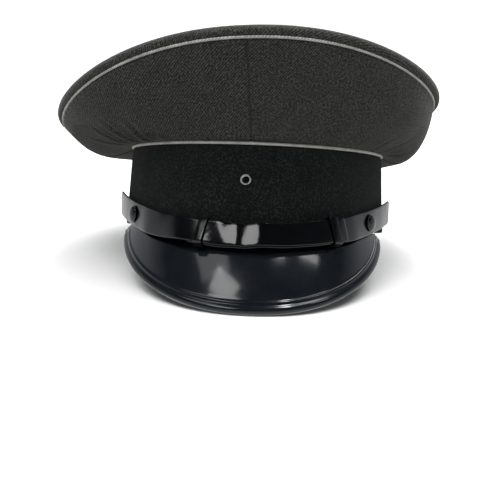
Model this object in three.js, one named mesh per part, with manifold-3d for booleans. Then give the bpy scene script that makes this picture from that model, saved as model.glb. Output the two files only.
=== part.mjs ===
// Military peaked cap: a cloth crown stretched over a wire rim, a felt band, a glossy peak,
// and a two-part chin strap on two side buttons. The cap stands as it would on a table,
// on the lip of its peak and the back of its band. Millimetres, +Z up, the peak towards -Y.

import * as THREE from 'three';
import { mergeVertices } from 'three/addons/utils/BufferGeometryUtils.js';
import Module from 'manifold-3d';

const wasm = await Module();
wasm.setup();

// Clearance between pieces that touch on the real cap
const GAP = 0.3;

// Head opening and band
const HEAD_WIDTH = 166;
const HEAD_LENGTH = 202;
const BAND_WALL = 3;
const BAND_HEIGHT = 49;
const BAND_TAPER = 2.5;
const BAND_PIPING = 2;

// Crown: how far its rim stands out from the band and how high above it, how its oval lists,
// fills its corners and sits off the middle, its rolled edge with the piping under it (in
// degrees from level), and the hang of its side panels
const CLOTH = 1.6;
const SIDE_OVERHANG = 40.3;
const FRONT_OVERHANG = 27;
const REAR_OVERHANG = 44;
const FRONT_RISE = 60.6;
const SIDE_RISE = 27;
const REAR_RISE = 34;
const RIM_LIST = 10.5;
const RIM_FULLNESS = 0.94;
const CROWN_SHIFT = 6.8;
const CROWN_TURN = 1;
const RIM_ROLL = 4;
const RIM_PIPING = 2;
const FRONT_PIPING_ROLL = -52;
const SIDE_PIPING_ROLL = -88;
const PANEL_SAG = 10;
const SAG_NEAR_RIM = 0.4;
const PANEL_END_TURN = 35;
const SIDE_SEAM_ANGLE = 96;
const FOLD_DEPTH = 2.2;
const FOLD_WIDTH = 7;

// Peak: its drop and reach from the band's foot, the curve of its lip, and its raised rim
const PEAK_WALL = 1.8;
const PEAK_DROP = 46;
const PEAK_REACH = 33;
const PEAK_HALF_ANGLE = 66;
const PEAK_END_EDGE = 6;
const PEAK_SKEW = 3;
const PEAK_SQUARENESS = 0.91;
const PEAK_NARROWING = 1.15;
const PEAK_BULGE = 2;
const PEAK_RIM_WIDTH = 5.5;
const PEAK_BEAD_WIDTH = 1.1;
const PEAK_RIM_RISE = 0.9;

// Chin strap, its keepers and its side buttons. The strap dips in front, rises to its tails
// and leans out over the root of the peak.
const STRAP_WIDTH = 15;
const STRAP_WALL = 1.6;
const STRAP_FRONT_DROP = 5.3;
const STRAP_TAIL_RISE = 14;
const STRAP_TAIL_FLARE = 2.8;
const STRAP_LEAN = 38;
const STRAP_RISE_POWER = 1.4;
const KEEPER_WALL = 1;
const KEEPER_LENGTH = 5.5;
const KEEPER_CLEARANCE = 0.5;
const BUTTON_DIAMETER = 10.8;
const BUTTON_DOME = 2.8;
const BUTTON_EDGE = 0.6;
const SHANK_DIAMETER = 3;

// Eyelet for a badge
const EYELET_DIAMETER = 7.2;
const EYELET_HOLE = 4;
const EYELET_FLANGE = 0.8;
const EYELET_BARREL_WALL = 0.5;
const EYELET_HEIGHT = 29;
const EYELET_OFFSET = 2.5;

// Places round the head in degrees from the front, positive towards +X: where the strap loses
// its lean, comes down onto the band, flares at its tails, and where its halves begin and end
const BUTTON_ANGLE = 56;
const TAIL_ANGLE = 80;
const LEAN_FROM = 8;
const LEAN_TO = 66;
const SEAT_FROM = 41;
const SEAT_TO = 52;
const FLARE_FROM = 60;
const OVERLAP_RAMP = 13;
const KEEPERS = [
  { name: 'strap_keeper_left', angle: -16 },
  { name: 'strap_keeper_right', angle: 32 },
];
const OUTER_STRAP_END = 37.5;
const INNER_STRAP_END = -21;

// Run of a side panel from the band to the rim: the two handles of its curve, as shares of its
// overhang (out) and of its rise (up), and how much of PANEL_SAG it hangs down by
const PANEL_CURVES = [
  { angle: -180, out1: 0.5, up1: 0, out2: 1.02, up2: 0.35, sag: 0.8 },
  { angle: -140, out1: 0.5, up1: 0, out2: 1.02, up2: 0.3, sag: 1 },
  { angle: -98, out1: 0.55, up1: 0, out2: 0.8, up2: 0.35, sag: 1.3 },
  { angle: -70, out1: 0.42, up1: 0.14, out2: 0.82, up2: 0.45, sag: 0.2 },
  { angle: 0, out1: 0.28, up1: 0.34, out2: 0.66, up2: 0.7, sag: 0 },
  { angle: 70, out1: 0.42, up1: 0.16, out2: 0.92, up2: 0.5, sag: 0.1 },
  { angle: 98, out1: 0.5, up1: 0.05, out2: 1, up2: 0.35, sag: 1.3 },
  { angle: 140, out1: 0.5, up1: 0, out2: 1.02, up2: 0.3, sag: 1.5 },
  { angle: 180, out1: 0.5, up1: 0, out2: 1.02, up2: 0.35, sag: 0.8 },
];

// Folds that run up from the band, deepest near their start: place and drift in degrees, then
// length as a share of the panel, and depth and width as shares of FOLD_DEPTH and FOLD_WIDTH
const FOLD_START = 0.7;
const FOLDS = [
  { angle: -48, drift: -22, length: 0.55, depth: 0.9, width: 0.9 },
  { angle: -56, drift: -30, length: 0.75, depth: 1, width: 1 },
  { angle: -66, drift: -26, length: 0.7, depth: 0.8, width: 1 },
  { angle: 58, drift: 18, length: 0.5, depth: 0.6, width: 1.1 },
  { angle: 72, drift: 16, length: 0.6, depth: 0.5, width: 1.2 },
  { angle: 140, drift: 10, length: 0.7, depth: 0.7, width: 1.8 },
  { angle: -150, drift: -10, length: 0.7, depth: 0.7, width: 1.8 },
];

// Crown top from its middle to the rim, as shares of its half width
const TOP_RINGS = [0.35, 0.7, 0.92];

// Faces: steps round the head and along each curve
const ROUND_STEPS = 72;
const PANEL_STEPS = 26;
const PANEL_ROWS = 6;
const ROLL_STEPS = 4;
const PIPING_SIDES = 6;
const PEAK_STEPS = 36;
const STRAP_STEP = 3;
const TURNED_STEPS = 16;
const DOME_STEPS = 5;

const radians = THREE.MathUtils.degToRad;
const bandHalfWidth = HEAD_WIDTH / 2 + BAND_WALL;
const bandHalfLength = HEAD_LENGTH / 2 + BAND_WALL;
const UP = new THREE.Vector3(0, 0, 1);

const model = new THREE.Group();
const cap = new THREE.Group();
model.add(cap);

// Materials

function finish(color, roughness, metalness = 0) {
  return new THREE.MeshStandardMaterial({ color, roughness, metalness });
}

const greyTwill = () => finish(0x3b3b39, 0.95);
const whiteCord = () => finish(0xc9c9c4, 0.8);
const darkFelt = () => finish(0x161817, 1);
const glossBlack = () => finish(0x0b0c0e, 0.12);
const blackLacquer = () => finish(0x0a0a0b, 0.2);
const nickel = () => finish(0xb4b4b0, 0.35, 1);

function add(name, geometry, material) {
  const mesh = new THREE.Mesh(geometry, material);
  mesh.name = name;
  cap.add(mesh);
  return mesh;
}

// Closed meshes from rows of points

function signedVolume(points, faces) {
  let volume = 0;
  const cross = new THREE.Vector3();
  for (const [a, b, c] of faces) {
    cross.crossVectors(points[b], points[c]);
    volume += points[a].dot(cross) / 6;
  }
  return volume;
}

function closedMesh(points, faces) {
  const outward = signedVolume(points, faces) > 0;
  const geometry = new THREE.BufferGeometry();
  geometry.setFromPoints(points);
  geometry.setIndex(faces.flatMap(([a, b, c]) => (outward ? [a, b, c] : [a, c, b])));
  geometry.computeVertexNormals();
  return geometry;
}

// A wall between two sheets of points in rows. A first row of one point is a pole.
function wall(outer, inner, ring) {
  const points = [];
  const index = [outer, inner].map((sheet) => sheet.map((row) => row.map((point) => {
    points.push(point);
    return points.length - 1;
  })));
  const faces = [];
  const quad = (a, b, c, d) => faces.push([a, b, c], [a, c, d]);
  const lastRow = outer.length - 1;
  const columns = outer[lastRow].length;
  const spans = ring ? columns : columns - 1;
  const pole = outer[0].length === 1;
  const [top, under] = index;
  for (let column = 0; column < spans; column += 1) {
    const next = (column + 1) % columns;
    for (let row = 0; row < lastRow; row += 1) {
      if (pole && row === 0) {
        faces.push([top[0][0], top[1][next], top[1][column]]);
        faces.push([under[0][0], under[1][column], under[1][next]]);
      } else {
        quad(top[row][column], top[row][next], top[row + 1][next], top[row + 1][column]);
        quad(under[row][column], under[row + 1][column], under[row + 1][next], under[row][next]);
      }
    }
    quad(top[lastRow][column], top[lastRow][next], under[lastRow][next], under[lastRow][column]);
    if (!pole) quad(top[0][next], top[0][column], under[0][column], under[0][next]);
  }
  if (!ring) {
    const end = columns - 1;
    for (let row = 0; row < lastRow; row += 1) {
      quad(top[row][0], top[row + 1][0], under[row + 1][0], under[row][0]);
      quad(top[row + 1][end], top[row][end], under[row][end], under[row + 1][end]);
    }
  }
  return closedMesh(points, faces);
}

// A solid run through like sections, closed into a ring or capped at both ends. The far half
// of its sides is split the other way, so that two such solids laid together stay parallel.
function run(sections, ring) {
  const sides = sections[0].length;
  const points = sections.flat();
  const faces = [];
  const spans = ring ? sections.length : sections.length - 1;
  for (let span = 0; span < spans; span += 1) {
    const here = span * sides;
    const there = ((span + 1) % sections.length) * sides;
    for (let side = 0; side < sides; side += 1) {
      const next = (side + 1) % sides;
      if (side < sides / 2) {
        faces.push([here + side, here + next, there + next]);
        faces.push([here + side, there + next, there + side]);
      } else {
        faces.push([here + side, here + next, there + side]);
        faces.push([here + next, there + next, there + side]);
      }
    }
  }
  if (!ring) {
    const last = (sections.length - 1) * sides;
    for (let side = 1; side < sides - 1; side += 1) {
      faces.push([0, side + 1, side]);
      faces.push([last, last + side, last + side + 1]);
    }
  }
  return closedMesh(points, faces);
}

function asSolid(geometry) {
  const bare = geometry.index ? geometry.clone() : geometry;
  bare.deleteAttribute('normal');
  bare.deleteAttribute('uv');
  const merged = mergeVertices(bare, 1e-4);
  return new wasm.Manifold(new wasm.Mesh({
    numProp: 3,
    vertProperties: new Float32Array(merged.attributes.position.array),
    triVerts: new Uint32Array(merged.index.array),
  }));
}

function cutBy(geometry, cutters) {
  let solid = asSolid(geometry);
  for (const cutter of cutters) solid = solid.subtract(asSolid(cutter));
  const mesh = solid.getMesh();
  const cut = new THREE.BufferGeometry();
  cut.setAttribute('position', new THREE.BufferAttribute(mesh.vertProperties, 3));
  cut.setIndex(new THREE.BufferAttribute(mesh.triVerts, 1));
  cut.computeVertexNormals();
  return cut;
}

// The head oval at a given angle: a point on the band's outside and the way out of it

function bandNormal(angle) {
  const turn = radians(angle);
  const out = new THREE.Vector3(bandHalfLength * Math.sin(turn), -bandHalfWidth * Math.cos(turn), 0);
  return out.normalize();
}

function bandPoint(angle, height, out) {
  const turn = radians(angle);
  const taper = (BAND_TAPER * Math.max(0, height)) / BAND_HEIGHT;
  const foot = new THREE.Vector3(
    bandHalfWidth * Math.sin(turn),
    -bandHalfLength * Math.cos(turn),
    height,
  );
  return foot.addScaledVector(bandNormal(angle), out - taper);
}

function aroundHead(steps) {
  return Array.from({ length: steps }, (_, step) => (360 * step) / steps);
}

const blend = (from, to, share) => from + (to - from) * share;

// Band: a felt wall, a little narrower at its top

function band() {
  const angles = aroundHead(ROUND_STEPS);
  const sheet = (out) => [0, BAND_HEIGHT].map((height) => (
    angles.map((angle) => bandPoint(angle, height, out))
  ));
  return wall(sheet(0), sheet(-BAND_WALL), true);
}

// Piping: a round cord in a fold of cloth, run round the head

function piping(diameter, centre, outAt) {
  const sections = aroundHead(ROUND_STEPS).map((angle) => {
    const middle = centre(angle);
    const out = outAt(angle);
    return Array.from({ length: PIPING_SIDES }, (_, side) => {
      const turn = (2 * Math.PI * side) / PIPING_SIDES;
      return middle.clone()
        .addScaledVector(out, (diameter / 2) * Math.cos(turn))
        .addScaledVector(UP, (diameter / 2) * Math.sin(turn));
    });
  });
  return run(sections, true);
}

const bandPipingCentre = (angle) => (
  bandPoint(angle, BAND_HEIGHT, -BAND_PIPING * 0.1).addScaledVector(UP, GAP + BAND_PIPING / 2)
);

// Crown rim: a wire ring that the cloth is rolled over. It is highest at the front, lower at
// the back and lowest at the sides, and lists to one side.

const rimHalfWidth = bandHalfWidth + SIDE_OVERHANG - RIM_ROLL;
const rimFront = bandHalfLength + FRONT_OVERHANG - RIM_ROLL;
const rimRear = bandHalfLength + REAR_OVERHANG - RIM_ROLL;
const rimMeanRise = (FRONT_RISE + REAR_RISE + 2 * SIDE_RISE) / 4;
const rimPitch = (FRONT_RISE - REAR_RISE) / 2;
const rimSaddle = (FRONT_RISE + REAR_RISE - 2 * SIDE_RISE) / 4;

// Height of the stretched top at a share of the way from its middle to the rim
function topHeight(turn, share) {
  return BAND_HEIGHT + rimMeanRise
    + share * (rimPitch * Math.cos(turn) + RIM_LIST * Math.sin(turn))
    + share * share * rimSaddle * Math.cos(2 * turn);
}

const signedPower = (value, power) => Math.sign(value) * Math.abs(value) ** power;

function rimCentre(angle) {
  const turn = radians(angle + CROWN_TURN);
  const reach = Math.cos(turn) > 0 ? rimFront : rimRear;
  return new THREE.Vector3(
    rimHalfWidth * signedPower(Math.sin(turn), RIM_FULLNESS) - CROWN_SHIFT,
    -reach * signedPower(Math.cos(turn), RIM_FULLNESS),
    topHeight(turn, 1),
  );
}

function rimNormal(angle) {
  const turn = radians(angle + CROWN_TURN);
  const reach = Math.cos(turn) > 0 ? rimFront : rimRear;
  return new THREE.Vector3(
    reach * signedPower(Math.sin(turn), 2 - RIM_FULLNESS),
    -rimHalfWidth * signedPower(Math.cos(turn), 2 - RIM_FULLNESS),
    0,
  ).normalize();
}

// A point of the roll: radius and angle from level, 90 on top
function rollPoint(angle, radius, rollAngle) {
  const roll = radians(rollAngle);
  return rimCentre(angle)
    .addScaledVector(rimNormal(angle), radius * Math.cos(roll))
    .addScaledVector(UP, radius * Math.sin(roll));
}

const rollMiddle = RIM_ROLL - CLOTH / 2;
const pipingRadius = RIM_ROLL - RIM_PIPING * 0.15;
const pipingShare = THREE.MathUtils.radToDeg(Math.asin((RIM_PIPING / 2 + GAP) / pipingRadius));

// The piping lies on the roll's lower front, and farther under it at the sides
function pipingRoll(angle) {
  return blend(FRONT_PIPING_ROLL, SIDE_PIPING_ROLL, Math.sin(radians(angle + CROWN_TURN)) ** 2);
}

const rimPipingCentre = (angle) => rollPoint(angle, pipingRadius, pipingRoll(angle));

// Crown top: cloth from the middle, over the roll and down to the piping

function topLine(angle) {
  const turn = radians(angle + CROWN_TURN);
  const slope = (topHeight(turn, 1) - topHeight(turn, 0.9)) / (0.1 * rimHalfWidth);
  const start = 90 + THREE.MathUtils.radToDeg(Math.atan(slope));
  const edge = rollPoint(angle, rollMiddle, start);
  const middle = new THREE.Vector3(-CROWN_SHIFT, 0, topHeight(turn, 0) + rollMiddle);
  const lift = edge.z - topHeight(turn, 1);
  const line = TOP_RINGS.map((share) => {
    const point = middle.clone().lerp(edge, share);
    point.z = topHeight(turn, share) + blend(rollMiddle, lift, share);
    return point;
  });
  const end = pipingRoll(angle) + pipingShare;
  for (let step = 0; step <= ROLL_STEPS; step += 1) {
    line.push(rollPoint(angle, rollMiddle, blend(start, end, step / ROLL_STEPS)));
  }
  return [middle, ...line];
}

// Side panels: cloth from the band's top, out and up to the rim piping

function panelCurve(angle) {
  const place = THREE.MathUtils.euclideanModulo(angle + 180, 360) - 180;
  const above = PANEL_CURVES.findIndex((row) => row.angle >= place);
  const high = PANEL_CURVES[Math.max(1, above)];
  const low = PANEL_CURVES[Math.max(1, above) - 1];
  const share = THREE.MathUtils.smoothstep(place, low.angle, high.angle);
  const columns = Object.keys(low).map((key) => [key, blend(low[key], high[key], share)]);
  return Object.fromEntries(columns);
}

function foldAt(angle, share, radius) {
  let depth = 0;
  for (const fold of FOLDS) {
    const centre = fold.angle + fold.drift * share;
    const offset = THREE.MathUtils.euclideanModulo(angle - centre + 180, 360) - 180;
    const across = (radians(offset) * radius) / (fold.width * FOLD_WIDTH);
    const along = share / fold.length;
    if (along < 1 && Math.abs(across) < 1) {
      const ridge = Math.cos(across * Math.PI) * (1 - across * across);
      depth += fold.depth * FOLD_DEPTH * ridge * Math.sin(Math.PI * along ** FOLD_START);
    }
  }
  return depth;
}

const panelFoot = -(BAND_WALL + BAND_PIPING) / 2;

function panelLine(angle) {
  const foot = bandPoint(angle, BAND_HEIGHT, panelFoot).addScaledVector(UP, GAP);
  const bend = foot.clone().addScaledVector(UP, BAND_PIPING + GAP + CLOTH / 2);
  const shoulder = bandPoint(angle, BAND_HEIGHT, BAND_PIPING * 0.75);
  shoulder.z = bend.z;
  const reach = RIM_PIPING / 2 + GAP + CLOTH / 2;
  const end = rimPipingCentre(angle)
    .addScaledVector(rimNormal(angle), -reach * Math.sin(radians(PANEL_END_TURN)))
    .addScaledVector(UP, -reach * Math.cos(radians(PANEL_END_TURN)));
  const across = end.clone().sub(shoulder);
  const rise = across.z;
  across.z = 0;
  const curve = panelCurve(angle);
  const handle = (out, up, sag) => (
    shoulder.clone().addScaledVector(across, out).addScaledVector(UP, up * rise - sag * PANEL_SAG)
  );
  const path = new THREE.CubicBezierCurve3(
    shoulder,
    handle(curve.out1, curve.up1, curve.sag),
    handle(curve.out2, curve.up2, curve.sag * SAG_NEAR_RIM),
    end,
  );
  const line = [foot, bend];
  for (let row = 0; row <= PANEL_ROWS; row += 1) {
    const share = row / PANEL_ROWS;
    const point = path.getPoint(share);
    const radius = Math.hypot(point.x, point.y);
    point.addScaledVector(bandNormal(angle), foldAt(angle, share, radius));
    line.push(point);
  }
  return line;
}

// The way out of a sheet of lines at one place
function sheetNormal(lineAt, angle, row) {
  const nudge = 0.5;
  const line = lineAt(angle);
  const along = line[Math.min(row + 1, line.length - 1)].clone();
  along.sub(line[Math.max(row - 1, 0)]);
  const round = lineAt(angle + nudge)[row].clone().sub(lineAt(angle - nudge)[row]);
  return round.cross(along).normalize();
}

function panel(from, to) {
  const seam = THREE.MathUtils.radToDeg(GAP / 2 / bandHalfWidth);
  const angles = Array.from({ length: PANEL_STEPS + 1 }, (_, step) => (
    blend(from + seam, to - seam, step / PANEL_STEPS)
  ));
  const sheet = (side) => panelLine(from).map((_, row) => angles.map((angle) => (
    panelLine(angle)[row].clone().addScaledVector(sheetNormal(panelLine, angle, row), side * CLOTH / 2)
  )));
  return wall(sheet(1), sheet(-1), false);
}

function crownTop() {
  const angles = aroundHead(ROUND_STEPS);
  const rows = topLine(0).length;
  const sheet = (side) => Array.from({ length: rows }, (_, row) => {
    if (row === 0) return [topLine(0)[0].clone().addScaledVector(UP, side * CLOTH / 2)];
    return angles.map((angle) => {
      const out = sheetNormal(topLine, angle, row).multiplyScalar(-side * CLOTH / 2);
      return topLine(angle)[row].clone().add(out);
    });
  });
  return wall(sheet(1), sheet(-1), true);
}

// Peak: a moulded shell from the band's foot to a lip that is square at its ends and full in
// the middle, with a raised rim

function peakEdge(share) {
  const turn = (Math.PI / 2) * share;
  const endTurn = radians(PEAK_HALF_ANGLE);
  const halfWidth = bandHalfWidth * Math.sin(endTurn) + PEAK_WALL;
  const endReach = bandHalfLength * Math.cos(endTurn);
  const fall = Math.max(0, Math.cos(turn));
  const forward = fall ** PEAK_NARROWING;
  return new THREE.Vector3(
    halfWidth * signedPower(Math.sin(turn), PEAK_SQUARENESS) + PEAK_SKEW * forward,
    -blend(endReach, bandHalfLength + PEAK_REACH, forward),
    -blend(PEAK_END_EDGE, PEAK_DROP, fall),
  );
}

function peakLine(share) {
  const root = bandPoint(share * PEAK_HALF_ANGLE, 0, -BAND_WALL / 2);
  root.z = -GAP - PEAK_WALL / 3;
  const edge = peakEdge(share);
  const length = root.distanceTo(edge);
  const rimWidth = Math.min(PEAK_RIM_WIDTH, length / 2);
  const bead = (PEAK_BEAD_WIDTH * rimWidth) / PEAK_RIM_WIDTH;
  const out = bandNormal(share * PEAK_HALF_ANGLE).add(UP).normalize();
  const field = length - rimWidth;
  const stops = [0, 0.25, 0.5, 0.75, 1].map((part) => ({ at: field * part, rise: 0 }));
  stops.push({ at: field + bead, rise: PEAK_RIM_RISE });
  stops.push({ at: length - bead, rise: PEAK_RIM_RISE });
  stops.push({ at: length, rise: 0 });
  return stops.map(({ at, rise }) => {
    const part = at / length;
    const bulge = 4 * part * (1 - part) * PEAK_BULGE * Math.min(1, length / PEAK_DROP);
    const point = root.clone().lerp(edge, part).addScaledVector(out, bulge);
    return { point, rise };
  });
}

function peak() {
  const shares = Array.from({ length: PEAK_STEPS + 1 }, (_, step) => (
    Math.sin((Math.PI / 2) * blend(-1, 1, step / PEAK_STEPS))
  ));
  const lineAt = (share) => peakLine(THREE.MathUtils.clamp(share, -1, 1)).map((stop) => stop.point);
  const nudge = 0.01;
  const normalAt = (share, row) => {
    const line = lineAt(share);
    const along = line[Math.min(row + 1, line.length - 1)].clone();
    along.sub(line[Math.max(row - 1, 0)]);
    const round = lineAt(share + nudge)[row].clone().sub(lineAt(share - nudge)[row]);
    return along.cross(round).normalize();
  };
  const sheet = (side) => peakLine(0).map((_, row) => shares.map((share) => {
    const { point, rise } = peakLine(share)[row];
    const depth = side > 0 ? PEAK_WALL / 2 + rise : -PEAK_WALL / 2;
    return point.clone().addScaledVector(normalAt(share, row), depth);
  }));
  return wall(sheet(1), sheet(-1), false);
}

// Chin strap: flat against the band at the sides, and leaning out over the root of the peak
// in front. The two halves lie on each other between the keepers.

const keeperRoom = KEEPER_WALL + KEEPER_CLEARANCE + GAP;
const keeperHalfWidth = STRAP_WIDTH / 2 + KEEPER_CLEARANCE + KEEPER_WALL;
const layerStep = STRAP_WALL + GAP;

function strapFrame(angle, layer) {
  const place = Math.abs(angle);
  const lean = radians(STRAP_LEAN) * (1 - THREE.MathUtils.smoothstep(place, LEAN_FROM, LEAN_TO));
  const rise = STRAP_TAIL_RISE + STRAP_FRONT_DROP;
  const height = rise * (place / TAIL_ANGLE) ** STRAP_RISE_POWER - STRAP_FRONT_DROP;
  const room = blend(keeperRoom, GAP, THREE.MathUtils.smoothstep(place, SEAT_FROM, SEAT_TO));
  const flare = STRAP_TAIL_FLARE * (Math.max(0, place - FLARE_FROM) / (TAIL_ANGLE - FLARE_FROM)) ** 2;
  const out = bandNormal(angle);
  const down = out.clone().multiplyScalar(Math.sin(lean)).addScaledVector(UP, -Math.cos(lean));
  const face = out.clone().multiplyScalar(Math.cos(lean)).addScaledVector(UP, Math.sin(lean));
  const middle = bandPoint(angle, 0, 0);
  middle.z = height;
  middle.addScaledVector(out, room + flare + keeperHalfWidth * Math.sin(lean));
  middle.addScaledVector(face, STRAP_WALL / 2 + layer * layerStep);
  return { middle, down, face, out };
}

function strapSection(angle, layer) {
  const { middle, down, face } = strapFrame(angle, layer);
  const corner = (across, deep) => middle.clone()
    .addScaledVector(down, (across * STRAP_WIDTH) / 2)
    .addScaledVector(face, (deep * STRAP_WALL) / 2);
  return [corner(-1, -1), corner(1, -1), corner(1, 1), corner(-1, 1)];
}

// Both halves have their sections at the same angles, so that their faces run side by side
function strap(from, to, layerAt) {
  const angles = [from];
  const first = Math.floor(from / STRAP_STEP + 1.2) * STRAP_STEP;
  for (let angle = first; angle < to - STRAP_STEP / 5; angle += STRAP_STEP) angles.push(angle);
  angles.push(to);
  return run(angles.map((angle) => strapSection(angle, layerAt(angle))), false);
}

// The outer half rises onto the inner one just before the inner one's end
function outerLayer(angle) {
  return THREE.MathUtils.smoothstep(angle, INNER_STRAP_END - 1 - OVERLAP_RAMP, INNER_STRAP_END - 1);
}

// Side buttons: a low dome on a shank that goes through the strap and the band

function buttonFrame(angle) {
  const { middle, down, out } = strapFrame(angle, 0);
  const along = strapFrame(angle + 1, 0).middle.sub(strapFrame(angle - 1, 0).middle);
  const face = down.clone().cross(along).normalize();
  face.multiplyScalar(Math.sign(face.dot(out)));
  const turn = new THREE.Quaternion().setFromUnitVectors(new THREE.Vector3(0, 1, 0), face);
  return { middle, turn };
}

function buttonGeometry() {
  const base = STRAP_WALL / 2 + GAP;
  const back = -(STRAP_WALL / 2 + BAND_WALL);
  const radius = BUTTON_DIAMETER / 2;
  const edge = base + BUTTON_EDGE;
  const dome = Array.from({ length: DOME_STEPS + 1 }, (_, step) => {
    const turn = (Math.PI / 2) * (step / DOME_STEPS);
    return new THREE.Vector2(radius * Math.cos(turn), edge + (BUTTON_DOME - BUTTON_EDGE) * Math.sin(turn));
  });
  dome[DOME_STEPS].x = 0;
  const profile = [
    new THREE.Vector2(0, back),
    new THREE.Vector2(SHANK_DIAMETER / 2, back),
    new THREE.Vector2(SHANK_DIAMETER / 2, base),
    new THREE.Vector2(radius, base),
    ...dome,
  ];
  return new THREE.LatheGeometry(profile, TURNED_STEPS);
}

function shankHole(angle) {
  const { middle, turn } = buttonFrame(angle);
  const radius = SHANK_DIAMETER / 2 + GAP;
  const hole = new THREE.CylinderGeometry(radius, radius, 4 * BAND_WALL, TURNED_STEPS);
  return hole.applyQuaternion(turn).translate(middle.x, middle.y, middle.z);
}

// Eyelet: a flange in front of the band and a barrel through it

const eyeletAngle = -THREE.MathUtils.radToDeg(Math.asin(EYELET_OFFSET / bandHalfWidth));
const eyeletBarrel = EYELET_HOLE / 2 + EYELET_BARREL_WALL;

function eyeletFrame() {
  const middle = bandPoint(eyeletAngle, EYELET_HEIGHT, 0);
  const turn = new THREE.Quaternion().setFromUnitVectors(new THREE.Vector3(0, 1, 0), bandNormal(eyeletAngle));
  return { middle, turn };
}

function eyeletGeometry() {
  const front = GAP + EYELET_FLANGE;
  const profile = [
    new THREE.Vector2(EYELET_HOLE / 2, -BAND_WALL + GAP),
    new THREE.Vector2(eyeletBarrel, -BAND_WALL + GAP),
    new THREE.Vector2(eyeletBarrel, GAP),
    new THREE.Vector2(EYELET_DIAMETER / 2, GAP),
    new THREE.Vector2(EYELET_DIAMETER / 2 - EYELET_FLANGE / 3, front),
    new THREE.Vector2(EYELET_HOLE / 2 + EYELET_FLANGE / 3, front),
    new THREE.Vector2(EYELET_HOLE / 2, GAP),
    new THREE.Vector2(EYELET_HOLE / 2, -BAND_WALL + GAP),
  ];
  return new THREE.LatheGeometry(profile, TURNED_STEPS);
}

function eyeletHole() {
  const { middle, turn } = eyeletFrame();
  const radius = eyeletBarrel + GAP;
  const hole = new THREE.CylinderGeometry(radius, radius, 4 * BAND_WALL, TURNED_STEPS);
  return hole.applyQuaternion(turn).translate(middle.x, middle.y, middle.z);
}

// Keeper: a closed loop round both halves of the strap

function keeper(angle) {
  const deep = STRAP_WALL + layerStep + 2 * KEEPER_CLEARANCE;
  const wide = STRAP_WIDTH + 2 * KEEPER_CLEARANCE;
  const box = (path, width, depth) => {
    path.moveTo(-width / 2, -depth / 2);
    path.lineTo(width / 2, -depth / 2);
    path.lineTo(width / 2, depth / 2);
    path.lineTo(-width / 2, depth / 2);
    path.closePath();
    return path;
  };
  const outline = box(new THREE.Shape(), 2 * keeperHalfWidth, deep + 2 * KEEPER_WALL);
  outline.holes.push(box(new THREE.Path(), wide, deep));
  const loop = new THREE.ExtrudeGeometry(outline, { depth: KEEPER_LENGTH, bevelEnabled: false });
  loop.translate(0, 0, -KEEPER_LENGTH / 2);
  const { middle, down, face } = strapFrame(angle, 0.5);
  const along = down.clone().cross(face);
  const place = new THREE.Matrix4().makeBasis(down, face, along).setPosition(middle);
  return loop.applyMatrix4(place);
}

// Assembly

add('crown_top', crownTop(), greyTwill());
add('crown_panel_front_left', panel(-SIDE_SEAM_ANGLE, 0), greyTwill());
add('crown_panel_front_right', panel(0, SIDE_SEAM_ANGLE), greyTwill());
add('crown_panel_rear_right', panel(SIDE_SEAM_ANGLE, 180), greyTwill());
add('crown_panel_rear_left', panel(-180, -SIDE_SEAM_ANGLE), greyTwill());
add('crown_piping', piping(RIM_PIPING, rimPipingCentre, rimNormal), whiteCord());
add('band_piping', piping(BAND_PIPING, bandPipingCentre, bandNormal), whiteCord());

const buttonHoles = [-BUTTON_ANGLE, BUTTON_ANGLE].map(shankHole);
add('band', cutBy(band(), [...buttonHoles, eyeletHole()]), darkFelt());
add('peak', peak(), glossBlack());
const outerStrap = strap(-TAIL_ANGLE, OUTER_STRAP_END, outerLayer);
add('chin_strap_outer', cutBy(outerStrap, [buttonHoles[0]]), glossBlack());
const innerStrap = strap(INNER_STRAP_END, TAIL_ANGLE, () => 0);
add('chin_strap_inner', cutBy(innerStrap, [buttonHoles[1]]), glossBlack());

for (const { name, angle } of KEEPERS) add(name, keeper(angle), glossBlack());

for (const [name, angle] of [['side_button_left', -BUTTON_ANGLE], ['side_button_right', BUTTON_ANGLE]]) {
  const button = add(name, buttonGeometry(), blackLacquer());
  const { middle, turn } = buttonFrame(angle);
  button.position.copy(middle);
  button.quaternion.copy(turn);
}

const eyelet = add('badge_eyelet', eyeletGeometry(), nickel());
const seat = eyeletFrame();
eyelet.position.copy(seat.middle);
eyelet.quaternion.copy(seat.turn);

// The cap leans back until the peak's lip and the back of the band both touch the table
const lip = peakEdge(0);
const leanBack = Math.atan2(-lip.z + PEAK_WALL / 2, bandHalfLength - lip.y);
cap.rotation.x = -leanBack;
const box = new THREE.Box3().setFromObject(model, true);
const centre = box.getCenter(new THREE.Vector3());
cap.position.set(-centre.x, -centre.y, -box.min.z);

export default model;
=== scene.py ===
import math

import bmesh
import bpy
import numpy as np
from mathutils import Matrix, Vector


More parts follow.
